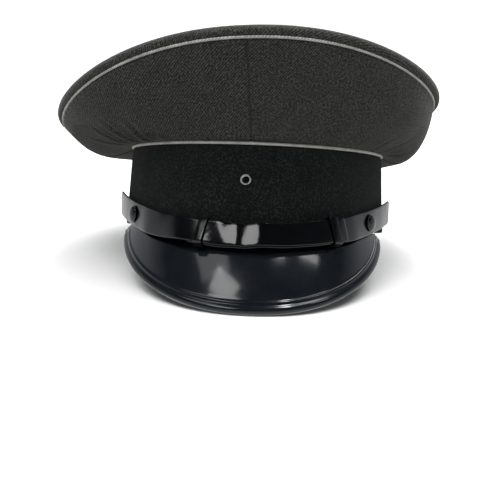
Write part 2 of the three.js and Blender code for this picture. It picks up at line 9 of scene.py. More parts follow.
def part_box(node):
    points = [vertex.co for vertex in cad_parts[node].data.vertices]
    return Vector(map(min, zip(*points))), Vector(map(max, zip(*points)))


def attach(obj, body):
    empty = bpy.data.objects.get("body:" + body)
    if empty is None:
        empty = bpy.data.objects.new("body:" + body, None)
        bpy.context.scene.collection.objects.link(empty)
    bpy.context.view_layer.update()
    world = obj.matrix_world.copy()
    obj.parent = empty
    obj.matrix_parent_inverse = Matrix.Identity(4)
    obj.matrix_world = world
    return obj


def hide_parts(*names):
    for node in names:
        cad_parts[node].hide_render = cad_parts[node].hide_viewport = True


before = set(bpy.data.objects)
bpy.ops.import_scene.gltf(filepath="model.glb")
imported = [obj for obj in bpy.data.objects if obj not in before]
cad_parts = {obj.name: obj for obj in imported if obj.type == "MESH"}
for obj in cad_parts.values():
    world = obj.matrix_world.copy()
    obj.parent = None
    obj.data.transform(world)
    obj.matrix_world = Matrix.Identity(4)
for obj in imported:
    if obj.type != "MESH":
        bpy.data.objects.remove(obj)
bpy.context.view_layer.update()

# Band
# A ring of very dark green-black felt, 3 mm thick over its stiffening, cut a little narrower at
# the top. Its hem is turned up and held by one row of machine stitches. All sizes here are in
# millimetres in the cap's own frame: x across, y to the back, z up from the band's foot.

HEAD_WIDTH = 166
HEAD_LENGTH = 202
BAND_WALL = 3
BAND_HEIGHT = 49
BAND_TAPER = 2.5
BAND_EDGE = 1.1
BAND_WAVE = 0.25
GAP = 0.3
MM = 0.001

band_half_width = HEAD_WIDTH / 2 + BAND_WALL
band_half_length = HEAD_LENGTH / 2 + BAND_WALL
UP = np.array([0.0, 0.0, 1.0])


def unit(vectors):
    return vectors / np.maximum(np.linalg.norm(vectors, axis=-1, keepdims=True), 1e-12)


def band_normal(angle):
    angle = np.radians(np.asarray(angle, float))
    out = [band_half_length * np.sin(angle), -band_half_width * np.cos(angle), 0 * angle]
    return unit(np.stack(out, -1))


def band_point(angle, height, out):
    angle, height = np.broadcast_arrays(np.asarray(angle, float), height)
    turn = np.radians(angle)
    taper = BAND_TAPER * np.maximum(0, height) / BAND_HEIGHT
    foot = [band_half_width * np.sin(turn), -band_half_length * np.cos(turn), height]
    return np.stack(foot, -1) + band_normal(angle) * (out - taper)[..., None]


def settle(points):
    """The cap leans back until its peak and the back of its band both rest on the floor."""
    lean = -math.atan2(PEAK_DROP + PEAK_WALL / 2, 2 * band_half_length + PEAK_REACH)
    x, y, z = np.moveaxis(np.asarray(points, float), -1, 0)
    turned = [x, y * math.cos(lean) - z * math.sin(lean), y * math.sin(lean) + z * math.cos(lean)]
    return np.stack(turned, -1) * MM


PEAK_WALL = 1.8
PEAK_DROP = 46
PEAK_REACH = 33

ring = np.arange(0, 360, 5.0)
band_corners = np.concatenate([band_point(ring, h, w) for h in (0, BAND_HEIGHT) for w in (0, -BAND_WALL)])
rest_offset = np.array(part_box("band")[0]) - settle(band_corners).min(0)


def place(points):
    return settle(points) + rest_offset


def loft(name, grid, uv, ring=True, closed=True):
    """A skin over a grid of points: sections by profile points, closed into a ring if asked."""
    sections, sides = grid.shape[:2]
    spans = sections if ring else sections - 1
    steps = sides if closed else sides - 1
    i, j = np.meshgrid(np.arange(spans), np.arange(steps), indexing="ij")
    i, j = i.ravel(), j.ravel()
    corners = [(i, j), (i + 1, j), (i + 1, j + 1), (i, j + 1)]
    faces = np.stack([(a % sections) * sides + b % sides for a, b in corners], -1)
    mesh = bpy.data.meshes.new(name)
    mesh.from_pydata(place(grid.reshape(-1, 3)), [], faces.tolist())
    layer = mesh.uv_layers.new(name="cloth")
    loops = np.stack([uv[a, b] for a, b in corners], 1).reshape(-1, 2)
    layer.data.foreach_set("uv", (loops * MM).ravel().astype(np.float32))
    piece = bpy.data.objects.new(name, mesh)
    bpy.context.scene.collection.objects.link(piece)
    return piece


def finish_skin(piece, caps=False):
    """Merges poles, caps open ends, turns every face outwards and smooths it."""
    form = bmesh.new()
    form.from_mesh(piece.data)
    bmesh.ops.remove_doubles(form, verts=form.verts, dist=1e-7)
    if caps:
        bmesh.ops.holes_fill(form, edges=[e for e in form.edges if e.is_boundary], sides=0)
    bmesh.ops.dissolve_degenerate(form, dist=1e-8, edges=form.edges)
    bmesh.ops.recalc_face_normals(form, faces=form.faces)
    for face in form.faces:
        face.smooth = True
    form.to_mesh(piece.data)
    form.free()
    piece.data.update()


def closed_uv(lengths_round, lengths_across, sections, sides):
    """Cloth coordinates of a grid in millimetres, one row and column past its end."""
    round_way = np.linspace(0, lengths_round, sections)
    across = np.linspace(0, lengths_across, sides)
    return np.stack(np.meshgrid(round_way, across, indexing="ij"), -1)


def rounded_box(width, depth, radius, steps=4):
    """A closed outline with round corners, as points across (x) and deep (y)."""
    corners = [(1, 1, 0), (-1, 1, 90), (-1, -1, 180), (1, -1, 270)]
    outline = []
    for sx, sy, start in corners:
        for turn in np.radians(np.linspace(start, start + 90, steps + 1)):
            x = sx * (width / 2 - radius) + radius * math.cos(turn)
            outline.append((x, sy * (depth / 2 - radius) + radius * math.sin(turn)))
    return np.array(outline)


def fill_sides(outline, longest, count):
    """The same outline with points added along each side wider than the longest allowed."""
    rows = []
    for point, following in zip(outline, np.roll(outline, -1, 0)):
        rows.append(point)
        if abs(following[0] - point[0]) > longest:
            rows += [point + (following - point) * part for part in np.linspace(0, 1, count)[1:-1]]
    return np.array(rows)


def hump(place, middle, width, power=2):
    """A soft hump, 1 high in its middle."""
    return np.exp(-((place - middle) / width) ** power)


def soft_waves(angle, seed, amount, finest=9):
    """A smooth closed random wave round the head, the same on each run."""
    draw = np.random.default_rng(seed)
    turn = np.radians(angle)
    wave = 0 * turn
    for count in range(2, finest):
        wave = wave + draw.normal() / count * np.sin(count * turn + draw.uniform(0, 2 * math.pi))
    return amount * wave


def linear(code):
    """sRGB hex to the linear colour that the shaders take."""
    parts = [int(code[i:i + 2], 16) / 255 for i in (0, 2, 4)]
    return [c / 12.92 if c <= 0.04045 else ((c + 0.055) / 1.055) ** 2.4 for c in parts] + [1]


def add(tree, kind, inputs=None, **settings):
    """One node with its settings; an input is a value or the (node, output) that feeds it."""
    made = tree.nodes.new(kind)
    for key, value in settings.items():
        setattr(made, key, value)
    for key, value in (inputs or {}).items():
        if isinstance(value, tuple) and isinstance(value[0], bpy.types.Node):
            tree.links.new(value[0].outputs[value[1]], made.inputs[key])
        else:
            made.inputs[key].default_value = value
    return made


def material(name):
    made = bpy.data.materials.new(name)
    made.use_nodes = True
    shader = made.node_tree.nodes["Principled BSDF"]
    return made, made.node_tree, shader


def ramp(tree, source, stops):
    made = add(tree, "ShaderNodeValToRGB", {"Fac": source})
    elements = made.color_ramp.elements
    while len(elements) < len(stops):
        elements.new(0.5)
    for element, (at, color) in zip(elements, stops):
        element.position = at
        element.color = linear(color)
    return made


def multiply(tree, factor, base, over):
    """One colour darkened by another, as far as the factor says."""
    return add(tree, "ShaderNodeMix", {"Factor": factor, "A": base, "B": over},
               data_type="RGBA", blend_type="MULTIPLY")


def relief(tree, shader, source, strength, distance):
    """Bumps the surface by a pattern, over a distance in metres."""
    bump = add(tree, "ShaderNodeBump", {"Height": source, "Strength": strength, "Distance": distance})
    tree.links.new(bump.outputs["Normal"], shader.inputs["Normal"])


def felt():
    # Milled wool felt: short fibres matted in every direction, so it drinks the light and only
    # its nap catches a faint grey sheen at the edges. Its tufts, 0.4 mm, are drawn at 1.2 mm.
    made, tree, shader = material("milled_wool_felt")
    where = add(tree, "ShaderNodeTexCoord")
    fibre = add(tree, "ShaderNodeTexNoise", {"Vector": (where, "Object"), "Scale": 850.0, "Detail": 4.0,
                                             "Roughness": 0.75})
    cloud = add(tree, "ShaderNodeTexNoise", {"Vector": (where, "Object"), "Scale": 60.0, "Detail": 4.0})
    tint = ramp(tree, (fibre, "Fac"), [(0.36, "0a0b0b"), (0.52, "171919"), (0.66, "363938")])
    worn = ramp(tree, (cloud, "Fac"), [(0.35, "b8bcbc"), (0.7, "ffffff")])
    color = multiply(tree, 0.6, (tint, "Color"), (worn, "Color"))
    tree.links.new(color.outputs["Result"], shader.inputs["Base Color"])
    relief(tree, shader, (fibre, "Fac"), 0.9, 0.0006)
    shader.inputs["Roughness"].default_value = 0.95
    shader.inputs["Specular IOR Level"].default_value = 0.2
    shader.inputs["Sheen Weight"].default_value = 0.12
    shader.inputs["Sheen Roughness"].default_value = 0.5
    shader.inputs["Sheen Tint"].default_value = linear("8c9694")
    return made


def band():
    angles = np.arange(0, 360, 0.75)
    profile = fill_sides(rounded_box(BAND_HEIGHT, BAND_WALL, BAND_EDGE), 5, 24)
    heights = BAND_HEIGHT / 2 + profile[:, 0]
    outs = profile[:, 1] - BAND_WALL / 2
    wave = soft_waves(angles, 4, BAND_WAVE)[:, None] * np.sin(math.pi * heights / BAND_HEIGHT)[None, :]
    grid = band_point(angles[:, None], heights[None, :], outs[None, :] + wave)
    uv = closed_uv(590, 2 * (BAND_HEIGHT + BAND_WALL), len(angles) + 1, len(heights) + 1)
    piece = loft("felt_band", grid, uv)
    finish_skin(piece)
    return piece


band_piece = band()
felt_finish = felt()
band_piece.data.materials.append(felt_finish)
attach(band_piece, "root")
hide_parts("band")

# Hem stitches
# One row of black polyester thread round the band's foot, 2.2 mm stitches at a 3 mm pitch,
# each half sunk into the felt. They hold the turned-up hem.

STITCH_LENGTH = 2.2
STITCH_PITCH = 3.0
STITCH_THICK = 0.42
STITCH_HEIGHT = 2.4


def thread():
    # Polyester sewing thread: two smooth plies, so each stitch has a small soft glint.
    made, tree, shader = material("polyester_thread")
    where = add(tree, "ShaderNodeTexCoord")
    ply = add(tree, "ShaderNodeTexNoise", {"Vector": (where, "Object"), "Scale": 2500.0})
    tint = ramp(tree, (ply, "Fac"), [(0.3, "0c0d0d"), (0.7, "24272a")])
    tree.links.new(tint.outputs["Color"], shader.inputs["Base Color"])
    shader.inputs["Roughness"].default_value = 0.55
    return made


def stitch_tree(name, finish):
    """Geometry Nodes: stitches of a given length, pitch and thickness along a path."""
    tree = bpy.data.node_groups.new(name, "GeometryNodeTree")
    board = tree.interface
    board.new_socket("Path", in_out="INPUT", socket_type="NodeSocketGeometry")
    sockets = {}
    for label in ("Pitch", "Length", "Thickness"):
        made = board.new_socket(label, in_out="INPUT", socket_type="NodeSocketFloat")
        sockets[label] = made.identifier
    board.new_socket("Stitches", in_out="OUTPUT", socket_type="NodeSocketGeometry")
    given = add(tree, "NodeGroupInput")
    path = add(tree, "GeometryNodeMeshToCurve", {"Mesh": (given, "Path")})
    spaced = add(tree, "GeometryNodeResampleCurve", {"Curve": (path, "Curve"), "Length": (given, "Pitch")},
                 mode="LENGTH")
    points = add(tree, "GeometryNodeCurveToPoints", {"Curve": (spaced, "Curve")}, mode="EVALUATED")
    body = add(tree, "GeometryNodeMeshUVSphere", {"Segments": 6, "Rings": 5, "Radius": 0.5})
    slim = add(tree, "ShaderNodeCombineXYZ", {"X": (given, "Thickness"), "Y": (given, "Thickness"),
                                              "Z": (given, "Length")})
    laid = add(tree, "GeometryNodeInstanceOnPoints",
               {"Points": (points, "Points"), "Instance": (body, "Mesh"),
                "Rotation": (points, "Rotation"), "Scale": (slim, "Vector")})
    real = add(tree, "GeometryNodeRealizeInstances", {"Geometry": (laid, "Instances")})
    smooth = add(tree, "GeometryNodeSetShadeSmooth", {"Geometry": (real, "Geometry")})
    dressed = add(tree, "GeometryNodeSetMaterial", {"Geometry": (smooth, "Geometry"), "Material": finish})
    result = add(tree, "NodeGroupOutput")
    tree.links.new(dressed.outputs["Geometry"], result.inputs["Stitches"])
    return tree, sockets


def stitch_row(name, path, tree, sockets):
    """Lays one row of stitches along a closed line of points and keeps it as a plain mesh."""
    count = len(path)
    edges = [(k, (k + 1) % count) for k in range(count)]
    line = bpy.data.meshes.new(name)
    line.from_pydata(place(path), edges, [])
    row = bpy.data.objects.new(name, line)
    bpy.context.scene.collection.objects.link(row)
    modifier = row.modifiers.new("stitches", "NODES")
    modifier.node_group = tree
    modifier[sockets["Pitch"]] = STITCH_PITCH * MM
    modifier[sockets["Length"]] = STITCH_LENGTH * MM
    modifier[sockets["Thickness"]] = STITCH_THICK * MM
    bpy.context.view_layer.update()
    seen = row.evaluated_get(bpy.context.evaluated_depsgraph_get())
    made = bpy.data.meshes.new_from_object(seen)
    row.modifiers.remove(modifier)
    row.data = made
    return row


thread_finish = thread()
stitches, stitch_sockets = stitch_tree("hem_stitches", thread_finish)
hem_path = band_point(np.arange(0, 360, 1.0), STITCH_HEIGHT, 0.02)
hem = stitch_row("hem_stitch_row", hem_path, stitches, stitch_sockets)
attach(hem, "root")

# Band piping
# An off-white cord in a bias-cut fold of cloth, 2 mm thick, sewn in along the band's top edge.

BAND_PIPING = 2.0
STITCH_TUG = 0.035
TUGS_ROUND = 150
CORD_LUMPS = 0.03


def piping_cloth():
    # Bias-woven rayon over a cord: fine slanting ribs, dusty off-white, brighter on the ridges.
    # The ribs, 0.3 mm, are drawn at 0.9 mm so that they show.
    made, tree, shader = material("bias_rayon_piping")
    uv = add(tree, "ShaderNodeUVMap", uv_map="cloth")
    turned = add(tree, "ShaderNodeMapping", {"Vector": (uv, "UV"), "Rotation": (0, 0, math.radians(52))})
    rib = add(tree, "ShaderNodeTexWave", {"Vector": (turned, "Vector"), "Scale": 350.0, "Distortion": 1.2,
                                          "Detail": 2.0}, wave_type="BANDS", bands_direction="X")
    where = add(tree, "ShaderNodeTexCoord")
    dust = add(tree, "ShaderNodeTexNoise", {"Vector": (where, "Object"), "Scale": 150.0, "Detail": 5.0})
    tint = ramp(tree, (rib, "Fac"), [(0.15, "a8a7a1"), (0.6, "d8d7d0"), (0.95, "ebeae4")])
    soil = ramp(tree, (dust, "Fac"), [(0.3, "c4c2ba"), (0.65, "ffffff")])
    color = multiply(tree, 0.7, (tint, "Color"), (soil, "Color"))
    tree.links.new(color.outputs["Result"], shader.inputs["Base Color"])
    relief(tree, shader, (rib, "Fac"), 0.6, 0.00025)
    shader.inputs["Roughness"].default_value = 0.75
    shader.inputs["Sheen Weight"].default_value = 0.15
    return made


def piping(name, diameter, centre_at, out_at, lump_seed):
    """A soft cord round the head, a little uneven where the stitches pull it."""
    angles = np.arange(0, 360, 0.5)
    sides = np.linspace(0, 2 * math.pi, 17)[:-1]
    centre = centre_at(angles)
    out = out_at(angles)
    pull = 1 + STITCH_TUG * np.sin(np.radians(angles) * TUGS_ROUND)
    pull = pull + soft_waves(angles, lump_seed, CORD_LUMPS, 24)
    radius = diameter / 2 * pull
    reach = out[:, None, :] * np.cos(sides)[None, :, None] + UP * np.sin(sides)[None, :, None]
    grid = centre[:, None, :] + reach * radius[:, None, None]
    uv = closed_uv(600, math.pi * diameter, len(angles) + 1, len(sides) + 1)
    piece = loft(name, grid, uv)
    finish_skin(piece)
    return piece


def band_piping_centre(angle):
    return band_point(angle, BAND_HEIGHT, -BAND_PIPING * 0.1) + UP * (GAP + BAND_PIPING / 2)


piping_finish = piping_cloth()
band_cord = piping("band_piping_cord", BAND_PIPING, band_piping_centre, band_normal, 11)
band_cord.data.materials.append(piping_finish)
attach(band_cord, "root")
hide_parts("band_piping")

# Crown side panels
# Four panels of stone-grey wool twill, sewn to each other at the front, back and sides and
# into the piping above and below. A wire ring inside holds the rim out: high in front, lower
# behind, lowest at the sides. The cloth is taut in front and hangs slack over the band behind
# the temples, where it gathers into a few short folds.

CLOTH = 1.6
SIDE_OVERHANG = 40.3
FRONT_OVERHANG = 27
REAR_OVERHANG = 44
FRONT_RISE = 60.6
SIDE_RISE = 27
REAR_RISE = 34
RIM_LIST = 10.5
RIM_FULLNESS = 0.94
CROWN_SHIFT = 6.8
CROWN_TURN = 1
RIM_ROLL = 4
RIM_PIPING = 2
FRONT_PIPING_ROLL = -52
SIDE_PIPING_ROLL = -88
PANEL_SAG = 10
SAG_NEAR_RIM = 0.4
PANEL_END_TURN = math.radians(35)

rim_half_width = band_half_width + SIDE_OVERHANG - RIM_ROLL
rim_front = band_half_length + FRONT_OVERHANG - RIM_ROLL
rim_rear = band_half_length + REAR_OVERHANG - RIM_ROLL
rim_mean_rise = (FRONT_RISE + REAR_RISE + 2 * SIDE_RISE) / 4
rim_pitch = (FRONT_RISE - REAR_RISE) / 2
rim_saddle = (FRONT_RISE + REAR_RISE - 2 * SIDE_RISE) / 4
roll_middle = RIM_ROLL - CLOTH / 2
piping_radius = RIM_ROLL - RIM_PIPING * 0.15


def top_height(turn, share):
    level = BAND_HEIGHT + rim_mean_rise
    tilt = rim_pitch * np.cos(turn) + RIM_LIST * np.sin(turn)
    return level + share * tilt + share ** 2 * rim_saddle * np.cos(2 * turn)


def signed_power(value, power):
    return np.sign(value) * np.abs(value) ** power


def rim_centre(angle):
    turn = np.radians(np.asarray(angle, float) + CROWN_TURN)
    reach = np.where(np.cos(turn) > 0, rim_front, rim_rear)
    across = rim_half_width * signed_power(np.sin(turn), RIM_FULLNESS) - CROWN_SHIFT
    ahead = -reach * signed_power(np.cos(turn), RIM_FULLNESS)
    return np.stack([across, ahead, top_height(turn, 1)], -1)


def rim_normal(angle):
    turn = np.radians(np.asarray(angle, float) + CROWN_TURN)
    reach = np.where(np.cos(turn) > 0, rim_front, rim_rear)
    across = reach * signed_power(np.sin(turn), 2 - RIM_FULLNESS)
    ahead = -rim_half_width * signed_power(np.cos(turn), 2 - RIM_FULLNESS)
    return unit(np.stack([across, ahead, 0 * turn], -1))


def roll_point(angle, radius, roll):
    roll = np.radians(np.asarray(roll, float))
    across = (radius * np.cos(roll))[..., None]
    return rim_centre(angle) + rim_normal(angle) * across + UP * (radius * np.sin(roll))[..., None]


def piping_roll(angle):
    """The piping lies on the roll's lower front, and farther under it at the sides."""
    aside = np.sin(np.radians(np.asarray(angle, float) + CROWN_TURN)) ** 2
    return FRONT_PIPING_ROLL + (SIDE_PIPING_ROLL - FRONT_PIPING_ROLL) * aside


def rim_piping_centre(angle):
    return roll_point(angle, piping_radius, piping_roll(angle))


# Angle from the front, then both handles of the panel's curve as shares of its overhang (out)
# and rise (up), and how much of PANEL_SAG it hangs down by
PANEL_CURVES = {
    "angle": (-180, -140, -98, -70, 0, 70, 98, 140, 180),
    "out1": (0.5, 0.5, 0.55, 0.42, 0.28, 0.42, 0.5, 0.5, 0.5),
    "up1": (0, 0, 0, 0.14, 0.34, 0.16, 0.05, 0, 0),
    "out2": (1.02, 1.02, 0.8, 0.82, 0.66, 0.92, 1, 1.02, 1.02),
    "up2": (0.35, 0.3, 0.35, 0.45, 0.7, 0.5, 0.35, 0.3, 0.35),
    "sag": (0.8, 1, 1.3, 0.2, 0, 0.1, 1.3, 1.5, 0.8),
}


def smooth_column(key, place_round):
    """A column of the table, eased from row to row."""
    rows = PANEL_CURVES["angle"]
    value = 0 * place_round
    for low, high, a, b in zip(rows, rows[1:], PANEL_CURVES[key], PANEL_CURVES[key][1:]):
        share = np.clip((place_round - low) / (high - low), 0, 1)
        share = share * share * (3 - 2 * share)
        value = np.where((place_round >= low) & (place_round <= high), a + (b - a) * share, value)
    return value


# Folds that spring from the band: place and drift in degrees, where along the panel they start
# and end as shares, depth and width in millimetres
FOLDS = [
    dict(angle=-46.5, drift=6, start=0.0, end=0.5, depth=4.0, width=6.0),
    dict(angle=-53, drift=-1, start=0.0, end=0.62, depth=5.0, width=6.0),
    dict(angle=-61.5, drift=0, start=0.0, end=0.62, depth=4.4, width=6.0),
    dict(angle=-71, drift=-6, start=0.0, end=0.55, depth=3.2, width=7.0),
    dict(angle=57, drift=12, start=0.0, end=0.45, depth=1.2, width=7.0),
    dict(angle=67, drift=14, start=0.0, end=0.55, depth=1.6, width=7.5),
    dict(angle=79, drift=12, start=0.0, end=0.5, depth=1.6, width=9.0),
    dict(angle=118, drift=8, start=0.05, end=0.8, depth=2.2, width=10.0),
    dict(angle=146, drift=9, start=0.05, end=0.75, depth=2.4, width=12.0),
    dict(angle=-122, drift=-9, start=0.05, end=0.8, depth=2.2, width=10.0),
    dict(angle=-152, drift=-8, start=0.05, end=0.8, depth=2.4, width=12.0),
]

# Shape across a fold: half widths of crease and ridge as shares of its width
CREASE_WIDTH = 0.36
RIDGE_WIDTH = 0.85
RIDGE_SHARE = 0.68


def fold_depth(angle, share, radius):
    """How far the folds lift or sink the cloth: a narrow crease in a broad soft ridge."""
    depth = 0 * angle * share
    for fold in FOLDS:
        middle = fold["angle"] + fold["drift"] * share
        offset = (angle - middle + 180) % 360 - 180
        across = np.radians(offset) * radius / fold["width"]
        along = np.clip((share - fold["start"]) / (fold["end"] - fold["start"]), 0, 1)
        crease = hump(across, 0, CREASE_WIDTH) - RIDGE_SHARE * hump(across, 0, RIDGE_WIDTH)
        depth = depth - fold["depth"] * crease * np.sin(math.pi * along ** 0.55)
    return depth


def panel_mid(angle, rows):
    """The middle of the cloth from the band (first) to the rim piping (last)."""
    angle = np.asarray(angle, float)
    foot = band_point(angle, BAND_HEIGHT, -(BAND_WALL + BAND_PIPING) / 2) + UP * GAP
    bend = foot + UP * (BAND_PIPING + GAP + CLOTH / 2)
    shoulder = band_point(angle, BAND_HEIGHT, BAND_PIPING * 0.75)
    shoulder[..., 2] = bend[..., 2] - 0.3
    reach = RIM_PIPING / 2 + CLOTH / 2 - 0.4
    end = rim_piping_centre(angle) - UP * reach * math.cos(PANEL_END_TURN)
    end = end - rim_normal(angle) * reach * math.sin(PANEL_END_TURN)
    across = end - shoulder
    rise = across[..., 2:3].copy()
    across[..., 2] = 0
    place_round = (angle + 180) % 360 - 180
    column = {key: smooth_column(key, place_round)[..., None] for key in PANEL_CURVES}

    def handle(n, hang):
        drop = column["sag"] * hang * PANEL_SAG
        return shoulder + across * column[f"out{n}"] + UP * (column[f"up{n}"] * rise - drop)

    share = np.linspace(0, 1, rows)[:, None, None]
    first, second = handle(1, 1.0), handle(2, SAG_NEAR_RIM)
    path = ((1 - share) ** 3 * shoulder + 3 * (1 - share) ** 2 * share * first
            + 3 * (1 - share) * share ** 2 * second + share ** 3 * end)
    radius = np.hypot(path[..., 0], path[..., 1])
    still = np.sin(math.pi * share[..., 0])
    slack = 0.5 + 0.5 * np.abs(place_round) / 180
    lean = fold_depth(angle, share[..., 0], radius)
    lean = lean + soft_waves(angle, 21, 0.9) * still * slack
    lean = lean + soft_waves(angle + 60 * share[..., 0], 22, 0.3, 16) * still
    line = np.concatenate([foot[None], (foot + bend)[None] / 2, bend[None], path], 0)
    out = unit(band_normal(angle) * 0.8 - UP * 0.6)
    line[3:] += out * lean[..., None]
    return line


def sheet_normal(mid, angles, rows, nudge=0.25):
    """The way out of a sheet of lines, from its neighbours along and across."""
    line = mid(angles, rows)
    along = np.gradient(line, axis=0)
    around = mid(angles + nudge, rows) - mid(angles - nudge, rows)
    return line, unit(np.cross(around, along))


PANEL_ROWS = 46
SEAM_DEPTH = 1.1
SEAM_WIDTH = 0.8
SEAM_TUG = 0.075
SEAM_DIP = 0.18
SEAM_DIP_WIDTH = 5
PANEL_PUCKER = 0.16

# The panels are cut like parts of a cone's skin: turn of the cloth for each turn round the head
CONE = 0.37


def panel(name, start, end):
    near_seam = np.array([0, 0.14, 0.3, 0.5, 0.75])
    middle = np.linspace(start + 1.1, end - 1.1, int((end - start) / 0.5))
    angles = np.concatenate([start + near_seam, middle, (end - near_seam)[::-1]])
    line, out = sheet_normal(panel_mid, angles, PANEL_ROWS)
    radius = np.hypot(line[..., 0], line[..., 1])
    to_seam = np.radians(np.minimum(angles - start, end - angles)) * radius
    share = np.linspace(0, 1, line.shape[0])[:, None]
    pucker = np.sin(np.radians(angles) * 118 + 2 * np.sin(np.radians(angles) * 13))
    edge = np.exp(-(1 - share) / 0.05) + np.exp(-share / 0.09)
    seam_pull = SEAM_TUG * np.sin(share * 160) * np.exp(-to_seam / 4)
    fold_in = SEAM_DEPTH * hump(to_seam, 0, SEAM_WIDTH) + SEAM_DIP * hump(to_seam, 0, SEAM_DIP_WIDTH)
    lift = PANEL_PUCKER * pucker[None, :] * edge + seam_pull - fold_in
    outer = line + out * (CLOTH / 2 + lift)[..., None]
    inner = line - out * CLOTH / 2
    grid = np.concatenate([outer, inner[::-1]], 0).transpose(1, 0, 2)
    steps = np.linalg.norm(np.diff(line, axis=0), axis=-1)
    height = np.concatenate([0 * steps[:1], np.cumsum(steps, 0)], 0)
    reach = band_half_length / CONE + height
    turn = np.radians(angles) * CONE
    flat = np.stack([reach * np.sin(turn), reach * np.cos(turn)], -1)
    uv = np.concatenate([flat, flat[::-1], flat[:1]], 0).transpose(1, 0, 2)
    piece = loft(name, grid, uv, ring=False)
    finish_skin(piece, caps=True)
    return piece


def twill():
    # Wool serge twill: steep diagonal ribs of mottled grey yarn, quite matt, with a pale bloom
    # of loose fibre at grazing angles. The ribs, 0.7 mm, are drawn at 1.3 mm so that they show.
    made, tree, shader = material("wool_serge_twill")
    uv = add(tree, "ShaderNodeUVMap", uv_map="cloth")
    turned = add(tree, "ShaderNodeMapping", {"Vector": (uv, "UV"), "Rotation": (0, 0, math.radians(44))})
    waver = add(tree, "ShaderNodeTexNoise", {"Vector": (uv, "UV"), "Scale": 90.0, "Detail": 2.0})
    rib = add(tree, "ShaderNodeTexWave", {"Vector": (turned, "Vector"), "Scale": 242.0, "Distortion": 2.2,
                                          "Detail": 3.0, "Detail Scale": 2.5},
              wave_type="BANDS", bands_direction="X")
    pick = add(tree, "ShaderNodeTexWave", {"Vector": (turned, "Vector"), "Scale": 240.0, "Distortion": 2.0,
                                           "Detail": 1.0}, wave_type="BANDS", bands_direction="Y")
    yarn = add(tree, "ShaderNodeTexNoise", {"Vector": (uv, "UV"), "Scale": 750.0, "Detail": 3.0,
                                            "Roughness": 0.8})
    height = multiply(tree, 0.4, (rib, "Color"), (pick, "Color"))
    fuzz = add(tree, "ShaderNodeMix", {"Factor": 0.84, "A": (height, "Result"), "B": (yarn, "Fac")},
               data_type="RGBA", blend_type="MIX")
    tint = ramp(tree, (fuzz, "Result"), [(0.32, "1b1b1a"), (0.47, "363634"), (0.62, "62625e")])
    shade = ramp(tree, (waver, "Fac"), [(0.3, "d2d2d0"), (0.7, "ffffff")])
    color = multiply(tree, 0.6, (tint, "Color"), (shade, "Color"))
    tree.links.new(color.outputs["Result"], shader.inputs["Base Color"])
    relief(tree, shader, (fuzz, "Result"), 0.7, 0.0005)
    shader.inputs["Roughness"].default_value = 0.95
    shader.inputs["Specular IOR Level"].default_value = 0.25
    shader.inputs["Sheen Weight"].default_value = 0.5
    shader.inputs["Sheen Roughness"].default_value = 0.35
    shader.inputs["Sheen Tint"].default_value = linear("c9c9c2")
    return made


SIDE_SEAM = 96
twill_finish = twill()
PANELS = [
    dict(side="front_left", start=-SIDE_SEAM, end=0),
    dict(side="front_right", start=0, end=SIDE_SEAM),
    dict(side="rear_right", start=SIDE_SEAM, end=180),
    dict(side="rear_left", start=-180, end=-SIDE_SEAM),
]
for row in PANELS:
    piece = panel(f"twill_panel_{row['side']}", row["start"], row["end"])
    piece.data.materials.append(twill_finish)
    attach(piece, "root")
    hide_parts(f"crown_panel_{row['side']}")

# Crown top
# One oval of the same twill, stretched over the wire ring like a drum skin, rolled down over
# the ring and sewn into the rim piping.

TOP_ROWS = 60
ROLL_ROWS = 14
TOP_SLACK = 1.5
RING_RIDGE = 0.7
TOP_PUCKER = 0.14
PIPING_SHARE = math.degrees(math.asin((RIM_PIPING / 2 - 0.15) / piping_radius))


def top_mid(angle, rows):
    """The middle of the cloth from the centre, over the roll and down to the piping."""
    angle = np.asarray(angle, float)
    turn = np.radians(angle + CROWN_TURN)
    slope = (top_height(turn, 1) - top_height(turn, 0.9)) / (0.1 * rim_half_width)
    start = 90 + np.degrees(np.arctan(slope))
    edge = roll_point(angle, roll_middle, start)
    middle = np.array([-CROWN_SHIFT, 0, 0])
    share = (np.linspace(0, 1, rows - ROLL_ROWS) ** 0.8)[:, None]
    flat = middle + (edge - middle) * share[..., None]
    lift = roll_middle + (edge[..., 2] - top_height(turn, 1) - roll_middle) * share
    flat[..., 2] = top_height(turn, share) + lift
    slack = TOP_SLACK * np.sin(math.pi * share ** 1.5) ** 2
    ridge = RING_RIDGE * hump(share, 0.925, 0.02)
    flat[..., 2] += soft_waves(angle, 31, 0.6) * share ** 2 * (1 - share) * 4 - slack + ridge
    end = piping_roll(angle) + PIPING_SHARE
    roll = start + (end - start) * np.linspace(0, 1, ROLL_ROWS + 1)[1:, None]
    return np.concatenate([flat, roll_point(angle + 0 * roll, roll_middle, roll)], 0)


def crown_top():
    angles = np.arange(0, 360, 1.0)
    line, out = sheet_normal(top_mid, angles, TOP_ROWS)
    out[0] = -UP
    share = np.linspace(0, 1, TOP_ROWS)[:, None]
    pucker = np.sin(np.radians(angles) * 131 + 2 * np.sin(np.radians(angles) * 11))
    lift = TOP_PUCKER * pucker[None, :] * np.exp(-(1 - share) / 0.05)
    outer = line - out * (CLOTH / 2 + lift)[..., None]
    inner = line + out * CLOTH / 2
    outer[0], inner[0] = outer[0].mean(0), inner[0].mean(0)
    grid = np.concatenate([outer, inner[::-1]], 0).transpose(1, 0, 2)
    steps = np.linalg.norm(np.diff(line, axis=0), axis=-1)
    run = np.concatenate([0 * steps[:1], np.cumsum(steps, 0)], 0)
    flat = run[..., None] * unit(line[TOP_ROWS // 2, :, :2] - line[0, :, :2])
    uv = np.concatenate([flat, flat[::-1], flat[:1]], 0).transpose(1, 0, 2)
    uv = np.concatenate([uv, uv[:1]], 0)
    piece = loft("twill_crown_top", grid, uv, closed=False)
    finish_skin(piece)
    return piece


top_piece = crown_top()
top_piece.data.materials.append(twill_finish)
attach(top_piece, "root")
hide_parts("crown_top")

